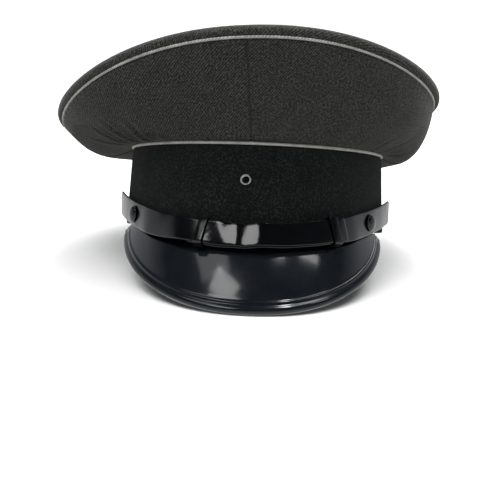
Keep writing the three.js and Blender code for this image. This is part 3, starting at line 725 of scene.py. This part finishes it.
# Rim piping
# The same off-white piping, 2 mm thick, sewn between the crown top and the side panels.

rim_cord = piping("rim_piping_cord", RIM_PIPING, rim_piping_centre, rim_normal, 12)
rim_cord.data.materials.append(piping_finish)
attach(rim_cord, "root")
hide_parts("crown_piping")

# Peak
# A black vulcanised-fibre shell, 1.8 mm thick, heat-formed and lacquered. A thick bead is
# rolled round its lip, with a fine raised line inside the bead. It is sewn under the band.

PEAK_HALF_ANGLE = 66
PEAK_END_EDGE = 6
PEAK_SKEW = 3
PEAK_BULGE = 2
PEAK_RIM_WIDTH = 5.5
PEAK_SPANS = 240

# Distance from the lip as a share of the rim's width, and rise above the shell in millimetres
RIM_SECTION = [
    (1.5, 0), (1.38, 0.06), (1.3, 0.3), (1.2, 0.52), (1.1, 0.56), (1.01, 0.42), (0.94, 0.3), (0.84, 0.4),
    (0.7, 0.72), (0.56, 0.98), (0.42, 1.12), (0.28, 1.1), (0.17, 0.9), (0.09, 0.55), (0.03, 0.1),
    (0, -0.45),
]


def peak_edge(share):
    turn = math.pi / 2 * share
    end_turn = math.radians(PEAK_HALF_ANGLE)
    half_width = band_half_width * math.sin(end_turn) + PEAK_WALL
    end_reach = band_half_length * math.cos(end_turn)
    across = np.sign(share) * np.abs(np.sin(turn)) ** 0.91
    fall = np.maximum(0, np.cos(turn))
    forward = fall ** 1.15
    tip = band_half_length + PEAK_REACH
    edge = [half_width * across + PEAK_SKEW * forward, -(end_reach + (tip - end_reach) * forward),
            -(PEAK_END_EDGE + (PEAK_DROP - PEAK_END_EDGE) * fall)]
    return np.stack(edge, -1)


def peak_lines(share):
    """Middle of the shell from root to lip, and the rise of its face there."""
    share = np.clip(share, -1, 1)
    root = band_point(share * PEAK_HALF_ANGLE, 0, -BAND_WALL / 2)
    root[..., 2] = -GAP - PEAK_WALL / 3
    edge = peak_edge(share)
    length = np.linalg.norm(edge - root, axis=-1)
    rim_width = np.minimum(PEAK_RIM_WIDTH, length / 2)
    out = unit(band_normal(share * PEAK_HALF_ANGLE) + UP)
    stops = [(part, None, 0) for part in np.linspace(0, 1, 26)]
    stops += [(None, near, rise) for near, rise in RIM_SECTION[1:]]
    lines, rises = [], []
    for part, near, rise in stops:
        if near is None:
            along = part * (1 - RIM_SECTION[0][0] * rim_width / length)
        else:
            along = 1 - near * rim_width / length
        bulge = 4 * along * (1 - along) * PEAK_BULGE * np.minimum(1, length / PEAK_DROP)
        lines.append(root + (edge - root) * along[..., None] + out * bulge[..., None])
        rises.append(rise * rim_width / PEAK_RIM_WIDTH)
    return np.array(lines), np.array(rises)


def peak():
    shares = np.sin(np.linspace(-math.pi / 2, math.pi / 2, PEAK_SPANS + 1))
    line, rise = peak_lines(shares)
    along = np.gradient(line, axis=0)
    nudge = 0.004
    around = peak_lines(shares + nudge)[0] - peak_lines(shares - nudge)[0]
    out = unit(np.cross(along, around))
    face = line + out * (PEAK_WALL / 2 + rise)[..., None]
    rolled = np.minimum(rise, 0) - PEAK_WALL / 2
    back = line + out * np.where(rise < 0, rolled * 0.4, -PEAK_WALL / 2)[..., None]
    grid = np.concatenate([face, back[::-1]], 0).transpose(1, 0, 2)
    uv = closed_uv(240, 130, grid.shape[0], grid.shape[1] + 1)
    piece = loft("lacquered_peak", grid, uv, ring=False)
    finish_skin(piece, caps=True)
    return piece


def lacquer(name, bloom, seed, deep, pale):
    # Deep black baked lacquer: a mirror with a faint orange-peel ripple, thinly dusted and
    # rubbed, so its reflections are crisp but not quite even.
    made, tree, shader = material(name)
    where = add(tree, "ShaderNodeTexCoord")
    start = add(tree, "ShaderNodeMapping", {"Vector": (where, "Object"), "Location": (seed, 0, 0)})
    peel = add(tree, "ShaderNodeTexNoise", {"Vector": (start, "Vector"), "Scale": 160.0, "Detail": 2.0})
    rub = add(tree, "ShaderNodeTexNoise", {"Vector": (start, "Vector"), "Scale": 45.0, "Detail": 7.0,
                                           "Roughness": 0.65})
    wear = add(tree, "ShaderNodeMapRange", {"Value": (rub, "Fac"), "From Min": 0.35, "From Max": 0.8,
                                            "To Min": 0.1, "To Max": 0.1 + bloom})
    tree.links.new(wear.outputs["Result"], shader.inputs["Roughness"])
    tint = ramp(tree, (rub, "Fac"), [(0.3, deep), (0.8, pale)])
    tree.links.new(tint.outputs["Color"], shader.inputs["Base Color"])
    relief(tree, shader, (peel, "Fac"), 0.08, 0.0006)
    shader.inputs["IOR"].default_value = 1.52
    shader.inputs["Coat Weight"].default_value = 0.5
    shader.inputs["Coat Roughness"].default_value = 0.09
    return made


def oilcloth():
    # The peak's underside: matt black oilcloth with a pebbled grain, 1 mm across.
    made, tree, shader = material("grained_oilcloth")
    where = add(tree, "ShaderNodeTexCoord")
    grain = add(tree, "ShaderNodeTexVoronoi", {"Vector": (where, "Object"), "Scale": 900.0})
    tint = ramp(tree, (grain, "Distance"), [(0.1, "17191a"), (0.7, "0d0e0f")])
    tree.links.new(tint.outputs["Color"], shader.inputs["Base Color"])
    relief(tree, shader, (grain, "Distance"), 0.5, 0.0004)
    shader.inputs["Roughness"].default_value = 0.6
    return made


peak_piece = peak()
peak_piece.data.materials.append(lacquer("baked_black_lacquer", 0.12, 0.0, "0e1216", "171c22"))
peak_piece.data.materials.append(oilcloth())
# The oilcloth covers what faces down and back, but not the lip's rolled edge near the floor
DOWN_AND_BACK = Vector((0, 0.6, -0.8))
LIP_HEIGHT = 0.004
for face in peak_piece.data.polygons:
    inward = DOWN_AND_BACK.dot(face.normal) > 0.25
    face.material_index = 1 if inward and face.center.z > LIP_HEIGHT else 0
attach(peak_piece, "root")
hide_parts("peak")

# Chin strap
# Two straps of black lacquered leather-cloth, 15 by 1.6 mm. Each is pinned by a side button
# and passes through the other's keeper. They lie flat on the band at the sides and lean out
# over the root of the peak in front, one on the other between the keepers.

STRAP_WIDTH = 15
STRAP_WALL = 1.6
STRAP_EDGE = 0.55
STRAP_BELLY = 0.12
STRAP_FRONT_DROP = 5.3
STRAP_TAIL_RISE = 14
STRAP_TAIL_FLARE = 2.8
STRAP_LEAN = 38
KEEPER_WALL = 1
KEEPER_LENGTH = 5.5
KEEPER_CLEARANCE = 0.5
BUTTON_ANGLE = 56
TAIL_ANGLE = 80
OUTER_STRAP_END = 37.5
INNER_STRAP_END = -21

keeper_room = KEEPER_WALL + KEEPER_CLEARANCE + GAP
keeper_half_width = STRAP_WIDTH / 2 + KEEPER_CLEARANCE + KEEPER_WALL
layer_step = STRAP_WALL + GAP


def ease(value, low, high):
    share = np.clip((value - low) / (high - low), 0, 1)
    return share * share * (3 - 2 * share)


def strap_frame(angle, layer):
    angle = np.asarray(angle, float)
    around = np.abs(angle)
    lean = math.radians(STRAP_LEAN) * (1 - ease(around, 8, TAIL_ANGLE - 14))
    rise = STRAP_TAIL_RISE + STRAP_FRONT_DROP
    height = rise * (around / TAIL_ANGLE) ** 1.4 - STRAP_FRONT_DROP
    room = keeper_room + (GAP - keeper_room) * ease(around, BUTTON_ANGLE - 15, BUTTON_ANGLE - 4)
    flare = np.maximum(0, (around - BUTTON_ANGLE - 4) / (TAIL_ANGLE - BUTTON_ANGLE))
    out = band_normal(angle)
    down = out * np.sin(lean)[..., None] - UP * np.cos(lean)[..., None]
    face = out * np.cos(lean)[..., None] + UP * np.sin(lean)[..., None]
    middle = band_point(angle, 0, 0)
    middle[..., 2] = height
    reach = room + STRAP_TAIL_FLARE * flare ** 2 + keeper_half_width * np.sin(lean)
    middle = middle + out * reach[..., None]
    middle = middle + face * np.asarray(STRAP_WALL / 2 + layer * layer_step)[..., None]
    return middle, down, face, out


def outer_layer(angle):
    return ease(angle, INNER_STRAP_END - 14, INNER_STRAP_END - 1)


# Where the strap stands off between the keepers: place and half width in degrees, and how far
# out in millimetres
STRAP_BUMPS = [dict(angle=-3.7, width=1.6, out=0.35), dict(angle=5.1, width=4.8, out=1.6)]


def strap_twist(angles):
    """How far the strap is tipped forwards, in radians: most of it between the keepers."""
    tipped = 0.1 * hump(angles, 6, 22, 6) + 0.09 * hump(angles, -10.5, 3.4)
    return tipped + soft_waves(angles * 3, 43, 0.02, 20)


def strap(name, start, end, layer_at):
    angles = np.linspace(start, end, int(abs(end - start) / 0.5) + 1)
    middle, down, face, _ = strap_frame(angles, layer_at(angles))
    ripple = np.clip(soft_waves(angles * 2, 41, 0.11, 30), -0.14, 0.14)
    for row in STRAP_BUMPS:
        ripple = ripple + row["out"] * hump(angles, row["angle"], row["width"])
    middle = middle + face * ripple[:, None]
    twist = strap_twist(angles)[:, None]
    down, face = down - face * twist, face + down * twist
    rows = fill_sides(rounded_box(STRAP_WIDTH, STRAP_WALL, STRAP_EDGE), 3, 12)
    belly = 1 + STRAP_BELLY * np.cos(rows[:, 0] / STRAP_WIDTH * math.pi)
    grid = (middle[:, None, :] + down[:, None, :] * rows[None, :, 0:1]
            + face[:, None, :] * (rows[:, 1] * belly)[None, :, None])
    for k, size in enumerate((0.86, 0.95, 0.99)):
        for at in (k, -1 - k):
            centre = grid[at].mean(0)
            grid[at] = centre + (grid[at] - centre) * size
    uv = closed_uv(len(angles), 34, len(angles), len(rows) + 1)
    piece = loft(name, grid, uv, ring=False)
    finish_skin(piece, caps=True)
    return piece


strap_finish = lacquer("lacquered_strap", 0.1, 0.37, "040405", "08090b")
STRAPS = [
    dict(name="strap_half_outer", node="chin_strap_outer", start=-TAIL_ANGLE, end=OUTER_STRAP_END,
         layer=outer_layer),
    dict(name="strap_half_inner", node="chin_strap_inner", start=INNER_STRAP_END, end=TAIL_ANGLE,
         layer=lambda angle: 0 * angle),
]
for row in STRAPS:
    piece = strap(row["name"], row["start"], row["end"], row["layer"])
    piece.data.materials.append(strap_finish)
    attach(piece, "root")
    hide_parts(row["node"])

# Keepers
# Two closed loops of the same lacquered strip, 5.5 mm wide, each sewn to the end of one half
# and holding the other half against it.

KEEPERS = [dict(side="left", angle=-16), dict(side="right", angle=32)]


def keeper(name, angle):
    middle, down, face, _ = (part[0] for part in strap_frame(np.array([angle]), np.array([0.5])))
    along = np.cross(down, face)
    deep = STRAP_WALL + layer_step + 2 * KEEPER_CLEARANCE + KEEPER_WALL
    path = rounded_box(2 * keeper_half_width - KEEPER_WALL, deep, 1.2, 5)
    section = rounded_box(KEEPER_LENGTH, KEEPER_WALL, 0.35, 3)
    ahead = np.roll(path, -1, 0) - np.roll(path, 1, 0)
    side = unit(np.stack([ahead[:, 1], -ahead[:, 0]], -1))
    spot = path[:, None, :] + side[:, None, :] * section[None, :, 1:2]
    grid = middle + down * spot[..., 0:1] + face * spot[..., 1:2] + along * section[None, :, 0:1]
    uv = closed_uv(40, 13, len(path) + 1, len(section) + 1)
    piece = loft(name, grid, uv)
    finish_skin(piece)
    return piece


for row in KEEPERS:
    piece = keeper(f"keeper_loop_{row['side']}", row["angle"])
    piece.data.materials.append(strap_finish)
    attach(piece, "root")
    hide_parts(f"strap_keeper_{row['side']}")

# Side buttons
# Two pressed metal domes in black enamel, 10.8 mm across with a thin turned rim, whose shanks
# go through the strap and the band.

BUTTON_DIAMETER = 10.8
BUTTON_DOME = 2.8
SHANK_DIAMETER = 3


def turned(name, profile, sides, centre, axis):
    """A turned solid: profile of radius and height, spun round an axis of the cap."""
    axis = unit(axis)
    across = unit(np.cross(axis, UP))
    lift = np.cross(across, axis)
    turns = np.linspace(0, 2 * math.pi, sides + 1)[:-1]
    profile = np.array(profile, float)
    spoke = across * np.cos(turns)[:, None] + lift * np.sin(turns)[:, None]
    grid = centre + spoke[:, None, :] * profile[None, :, 0:1] + axis * profile[None, :, 1:2]
    uv = closed_uv(30, 30, sides + 1, len(profile) + 1)
    closed = profile[0, 0] > 0
    piece = loft(name, grid, uv, closed=closed)
    finish_skin(piece)
    return piece


def button(name, angle):
    near = strap_frame(np.array([angle - 1, angle, angle + 1]), np.zeros(3))
    middle, down, out = near[0], near[1][1], near[3][1]
    face = np.cross(down, middle[2] - middle[0])
    face = face * np.sign(face @ out)
    radius = BUTTON_DIAMETER / 2
    base = STRAP_WALL / 2 + GAP
    back = -(STRAP_WALL / 2 + BAND_WALL)
    shank = SHANK_DIAMETER / 2
    profile = [(0, back), (shank - 0.3, back), (shank, back + 0.3), (shank, base - 0.2)]
    profile += [(radius - 0.5, base), (radius - 0.1, base + 0.15), (radius, base + 0.45)]
    profile += [(radius - 0.12, base + 0.72)]
    profile += [(radius - 0.45, base + 0.84), (radius - 0.72, base + 0.86)]
    inner = radius - 0.8
    for turn in np.radians(np.linspace(0, 90, 12)):
        profile.append((inner * math.cos(turn), base + 0.9 + (BUTTON_DOME - 0.9) * math.sin(turn)))
    profile[-1] = (0, base + BUTTON_DOME)
    return turned(name, profile, 48, middle[1], face)


button_finish = lacquer("black_enamel", 0.2, 0.71, "060607", "0c0d0f")
for side, angle in (("left", -BUTTON_ANGLE), ("right", BUTTON_ANGLE)):
    piece = button(f"dome_button_{side}", angle)
    piece.data.materials.append(button_finish)
    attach(piece, "root")
    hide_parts(f"side_button_{side}")

# Badge eyelet
# A plain rolled metal eyelet, 6.6 mm across, in the middle of the band. Its barrel goes through
# the felt.

EYELET_DIAMETER = 6.6
EYELET_HOLE = 4.2
EYELET_BARREL = 0.5
EYELET_FLANGE = 0.8
EYELET_HEIGHT = 29
EYELET_OFFSET = 2.5


def satin_metal():
    # Nickel-plated brass eyelet: pale, a little dulled, with fine turning marks and grime.
    made, tree, shader = material("nickel_plated_brass")
    where = add(tree, "ShaderNodeTexCoord")
    grime = add(tree, "ShaderNodeTexNoise", {"Vector": (where, "Object"), "Scale": 500.0, "Detail": 4.0})
    tint = ramp(tree, (grime, "Fac"), [(0.35, "a8a79f"), (0.55, "e8e7e0")])
    tree.links.new(tint.outputs["Color"], shader.inputs["Base Color"])
    rough = add(tree, "ShaderNodeMapRange", {"Value": (grime, "Fac"), "To Min": 0.45, "To Max": 0.25})
    tree.links.new(rough.outputs["Result"], shader.inputs["Roughness"])
    shader.inputs["Metallic"].default_value = 1.0
    return made


def eyelet_seat():
    """The eyelet's middle on the face of the band, and the way out there."""
    angle = -math.degrees(math.asin(EYELET_OFFSET / band_half_width))
    return band_point(np.array([angle]), EYELET_HEIGHT, np.array([0.0]))[0], band_normal(angle)


def eyelet():
    hole, rim = EYELET_HOLE / 2, EYELET_DIAMETER / 2
    barrel = hole + EYELET_BARREL
    profile = [(hole, -BAND_WALL), (barrel, -BAND_WALL), (barrel, -0.1), (rim - 0.3, -0.1)]
    middle = (hole + rim) / 2
    foot = 0.15
    rise = EYELET_FLANGE + GAP - foot
    for turn in np.radians(np.linspace(0, 180, 14)):
        profile.append((middle + (rim - middle) * math.cos(turn), foot + rise * math.sin(turn)))
    profile.append((hole, -0.4))
    return turned("rolled_eyelet", profile, 48, *eyelet_seat())


eyelet_piece = eyelet()
eyelet_piece.data.materials.append(satin_metal())
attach(eyelet_piece, "root")
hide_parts("badge_eyelet")


def eyelet_bore():
    """A real hole through the felt, a hair wider than the eyelet's barrel."""
    radius = EYELET_HOLE / 2 + EYELET_BARREL + 0.02
    profile = [(0, -6), (radius, -6), (radius, 4), (0, 4)]
    return turned("eyelet_bore", profile, 32, *eyelet_seat())


bore = eyelet_bore()
cut = band_piece.modifiers.new("eyelet_bore", "BOOLEAN")
cut.object = bore
cut.operation = "DIFFERENCE"
cut.solver = "EXACT"
bpy.context.view_layer.update()
seen_band = band_piece.evaluated_get(bpy.context.evaluated_depsgraph_get())
cut_mesh = bpy.data.meshes.new_from_object(seen_band)
band_piece.modifiers.remove(cut)
band_piece.data = cut_mesh
bpy.data.objects.remove(bore)

# Floor
# A wide sheet of plain white card, which runs on to the end of the pale room.

FLOOR_SIZE = 30.0


def card():
    # Matt white card with a barely visible mottle.
    made, tree, shader = material("matt_white_card")
    where = add(tree, "ShaderNodeTexCoord")
    mottle = add(tree, "ShaderNodeTexNoise", {"Vector": (where, "Object"), "Scale": 3.0, "Detail": 4.0})
    tint = ramp(tree, (mottle, "Fac"), [(0.3, "f2f2f1"), (0.7, "f6f6f5")])
    tree.links.new(tint.outputs["Color"], shader.inputs["Base Color"])
    shader.inputs["Roughness"].default_value = 0.9
    return made


half = FLOOR_SIZE / 2
corners = [(-half, -half, 0), (half, -half, 0), (half, half, 0), (-half, half, 0)]
sheet = bpy.data.meshes.new("card_floor")
sheet.from_pydata(corners, [], [(0, 1, 2, 3)])
floor = bpy.data.objects.new("card_floor", sheet)
bpy.context.scene.collection.objects.link(floor)
floor.data.materials.append(card())
floor.visible_diffuse = False
floor.visible_glossy = False

# Light
# A wide soft skylight over the cap, and four windows and a strip lamp overhead, which matter
# mostly where the lacquer mirrors them. The rest of the room is dim, so that the lacquer stays
# black, and the camera sees it as plain white.

sky = bpy.data.lights.new("soft_skylight", "SUN")
sky.energy = 4.6
sky.angle = math.radians(92)
skylight = bpy.data.objects.new("soft_skylight", sky)
skylight.rotation_euler = (math.radians(-6), math.radians(-5), 0)
skylight.visible_glossy = False
bpy.context.scene.collection.objects.link(skylight)

# Where each window hangs and its size, in metres, and its brightness in watts per square metre
WINDOWS = [
    dict(name="tall_window", at=(-0.43, -0.52, 1.5), size=(0.46, 0.33), bright=12),
    dict(name="left_window", at=(-0.6, -0.06, 1.5), size=(0.6, 0.5), bright=3.2),
    dict(name="right_window", at=(0.865, 0.2, 1.5), size=(0.15, 0.33), bright=11),
    dict(name="back_window", at=(0.35, 1.05, 1.5), size=(1.1, 1.5), bright=12),
    dict(name="ceiling_strip", at=(0.3, 0.15, 1.5), size=(0.45, 0.1), bright=55),
]
AIM = Vector((0, 0, 0.05))

for row in WINDOWS:
    light = bpy.data.lights.new(row["name"], "AREA")
    light.shape = "RECTANGLE"
    light.size, light.size_y = row["size"]
    light.energy = row["bright"] * light.size * light.size_y
    lamp = bpy.data.objects.new(row["name"], light)
    lamp.location = row["at"]
    lamp.rotation_euler = (AIM - lamp.location).to_track_quat("-Z", "Y").to_euler()
    bpy.context.scene.collection.objects.link(lamp)


def dim_room():
    # Pale below, grey walls and a dark ceiling.
    made = bpy.data.worlds.new("dim_room")
    made.use_nodes = True
    tree = made.node_tree
    where = add(tree, "ShaderNodeTexCoord")
    way = add(tree, "ShaderNodeSeparateXYZ", {"Vector": (where, "Generated")})
    level = add(tree, "ShaderNodeMapRange", {"Value": (way, "Z"), "From Min": -1.0, "From Max": 1.0})
    shades = [(0.4, "dcdcdc"), (0.5, "a8abae"), (0.69, "9a9ea2"), (0.8, "34383d"), (1.0, "282c31")]
    walls = ramp(tree, (level, "Result"), shades)
    room = tree.nodes["Background"]
    tree.links.new(walls.outputs["Color"], room.inputs["Color"])
    white = add(tree, "ShaderNodeBackground", {"Color": linear("ffffff"), "Strength": 1.05})
    seen = add(tree, "ShaderNodeLightPath")
    both = add(tree, "ShaderNodeMixShader", {0: (seen, "Is Camera Ray"), 1: (room, "Background"),
                                             2: (white, "Background")})
    tree.links.new(both.outputs["Shader"], tree.nodes["World Output"].inputs["Surface"])
    return made


bpy.context.scene.world = dim_room()

# Camera
# It looks at the cap as the photograph does: level with the band in the cap's own frame, a
# little from the cap's left and rolled 2 degrees, 0.7 m from the middle of the head.

# Millimetres in the cap's own frame, radians, and pixels for the focus and the horizon
CAMERA_DISTANCE = 700
CAMERA_HEIGHT = 8.9
CAMERA_ASIDE = -4.1
CAMERA_PIVOT = 24
CAMERA_YAW = 0.042
CAMERA_ROLL = 0.038
CAMERA_FOCUS = 1.471 * CAMERA_DISTANCE
HORIZON_ROW = 214.7
IMAGE_SIZE = (500, 482)


def camera():
    cy, sy = math.cos(CAMERA_YAW), math.sin(CAMERA_YAW)
    cr, sr = math.cos(CAMERA_ROLL), math.sin(CAMERA_ROLL)
    right = np.array([cr * cy, cr * sy, sr])
    up = np.array([-sr * cy, -sr * sy, cr])
    ahead = np.array([-sy, cy, 0])
    spot = (UP * CAMERA_PIVOT + right * CAMERA_ASIDE + up * (CAMERA_HEIGHT - CAMERA_PIVOT)
            - ahead * CAMERA_DISTANCE)
    tip = math.atan((IMAGE_SIZE[1] / 2 - HORIZON_ROW) / CAMERA_FOCUS)
    ahead, up = ahead * math.cos(tip) - up * math.sin(tip), up * math.cos(tip) + ahead * math.sin(tip)
    origin = place(np.zeros(3))
    axes = [unit(place(axis) - origin) for axis in (right, up, -ahead)]
    lens = bpy.data.cameras.new("front_camera")
    lens.sensor_fit = "HORIZONTAL"
    lens.sensor_width = 36
    lens.lens = 36 * CAMERA_FOCUS / IMAGE_SIZE[0]
    lens.clip_start = 0.01
    made = bpy.data.objects.new("front_camera", lens)
    bpy.context.scene.collection.objects.link(made)
    pose = Matrix(np.stack(axes, 1).tolist()).to_4x4()
    pose.translation = Vector(place(spot))
    made.matrix_world = pose
    return made


bpy.context.scene.camera = camera()
bpy.context.scene.view_settings.view_transform = "Standard"
